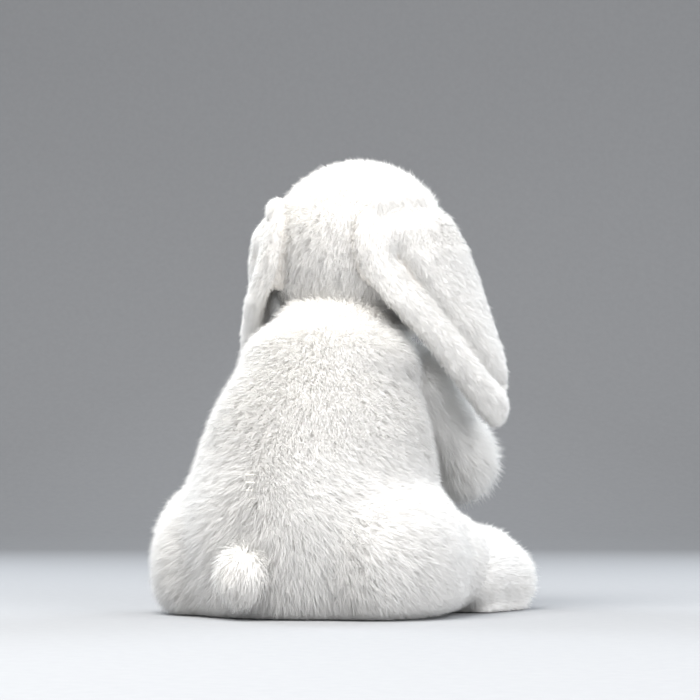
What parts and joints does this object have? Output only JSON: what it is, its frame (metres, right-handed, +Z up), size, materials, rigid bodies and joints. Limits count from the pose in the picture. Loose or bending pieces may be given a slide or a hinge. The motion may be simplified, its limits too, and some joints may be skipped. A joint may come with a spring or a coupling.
{
  "type": "stuffed rabbit",
  "caption": "White lop-eared rabbit in sitting pose, of sewn long-pile fur cloth over soft filling, with hanging ears, weighted seat, forward paws, long hind feet and puff tail.",
  "frame": {"origin": "on the flat underside of the seat, under the axis of the torso", "axes": "+Z up, -Y towards the rabbit's face, +X to the rabbit's left side"},
  "size_m": [0.148, 0.1864, 0.2155],
  "materials": {
    "fur_cloth": "matte",
    "short_pile": "matte",
    "filling": "matte",
    "bag_cloth": "matte",
    "thread": "matte",
    "pink_thread": "matte",
    "nose_cloth": "matte",
    "pellets": "matte",
    "washer": "matte",
    "eye": "gloss",
    "whisker": "gloss"
  },
  "bodies": {
    "torso": {"base_panel": "fur_cloth", "belly_panel": "fur_cloth", "torso_left_panel": "fur_cloth", "torso_right_panel": "fur_cloth", "torso_stuffing": "filling", "pellet_bag": "bag_cloth", "pellets": "pellets", "closing_stitches": "thread", "haunch_left": "fur_cloth", "haunch_right": "fur_cloth", "haunch_stuffing_left": "filling", "haunch_stuffing_right": "filling"},
    "neck": {"neck_core": "filling", "neck_seam": "thread"},
    "head": {"head_gusset": "fur_cloth", "chin_panel": "fur_cloth", "head_left_panel": "fur_cloth", "head_right_panel": "fur_cloth", "head_stuffing": "filling", "nose": "nose_cloth", "mouth_stitches": "pink_thread", "eye_left": "eye", "eye_right": "eye", "eye_washer_left": "washer", "eye_washer_right": "washer", "whiskers_left": "whisker", "whiskers_right": "whisker"},
    "tail": {"tail_skin": "fur_cloth", "tail_stuffing": "filling"},
    "ear_left": {"ear_outer_left": "fur_cloth", "ear_lining_left": "short_pile"},
    "arm_left": {"arm_outer_left": "fur_cloth", "arm_inner_left": "fur_cloth", "arm_stuffing_left": "filling"},
    "foot_left": {"foot_upper_left": "fur_cloth", "foot_sole_left": "fur_cloth", "foot_stuffing_left": "filling"},
    "ear_right": {"ear_outer_right": "fur_cloth", "ear_lining_right": "short_pile"},
    "arm_right": {"arm_outer_right": "fur_cloth", "arm_inner_right": "fur_cloth", "arm_stuffing_right": "filling"},
    "foot_right": {"foot_upper_right": "fur_cloth", "foot_sole_right": "fur_cloth", "foot_stuffing_right": "filling"}
  },
  "joints": [
    {"name": "head_turn", "type": "hinge", "parent": "torso", "child": "neck", "pos_m": [0, -0.02, 0.133], "axis": [0, 0, 1], "range_deg": [-15, 15], "stiffness_Nm_per_rad": 0.3},
    {"name": "head_nod", "type": "hinge", "parent": "neck", "child": "head", "pos_m": [0, -0.02, 0.133], "axis": [1, 0, 0], "range_deg": [-12, 15], "stiffness_Nm_per_rad": 0.5},
    {"name": "ear_left_lift", "type": "hinge", "parent": "head", "child": "ear_left", "pos_m": [0.033, -0.0165, 0.195], "axis": [0.4501, -0.8803, 0.15], "range_deg": [0, 110]},
    {"name": "ear_right_lift", "type": "hinge", "parent": "head", "child": "ear_right", "pos_m": [-0.033, -0.0165, 0.195], "axis": [0.4501, 0.8803, -0.15], "range_deg": [0, 110]},
    {"name": "arm_left_swing", "type": "hinge", "parent": "torso", "child": "arm_left", "pos_m": [0.03, -0.044, 0.112], "axis": [-1, 0, 0], "range_deg": [-8, 20], "stiffness_Nm_per_rad": 0.15},
    {"name": "arm_right_swing", "type": "hinge", "parent": "torso", "child": "arm_right", "pos_m": [-0.03, -0.044, 0.112], "axis": [-1, 0, 0], "range_deg": [-8, 20], "stiffness_Nm_per_rad": 0.15},
    {"name": "foot_left_flex", "type": "hinge", "parent": "torso", "child": "foot_left", "pos_m": [0.054, -0.042, 0.017], "axis": [-1, 0, 0], "range_deg": [0, 25], "stiffness_Nm_per_rad": 0.15},
    {"name": "foot_right_flex", "type": "hinge", "parent": "torso", "child": "foot_right", "pos_m": [-0.054, -0.042, 0.017], "axis": [-1, 0, 0], "range_deg": [0, 25], "stiffness_Nm_per_rad": 0.15},
    {"name": "tail_flex", "type": "hinge", "parent": "torso", "child": "tail", "pos_m": [0, 0.061, 0.024], "axis": [1, 0, 0], "range_deg": [-8, 20], "stiffness_Nm_per_rad": 0.01}
  ]
}
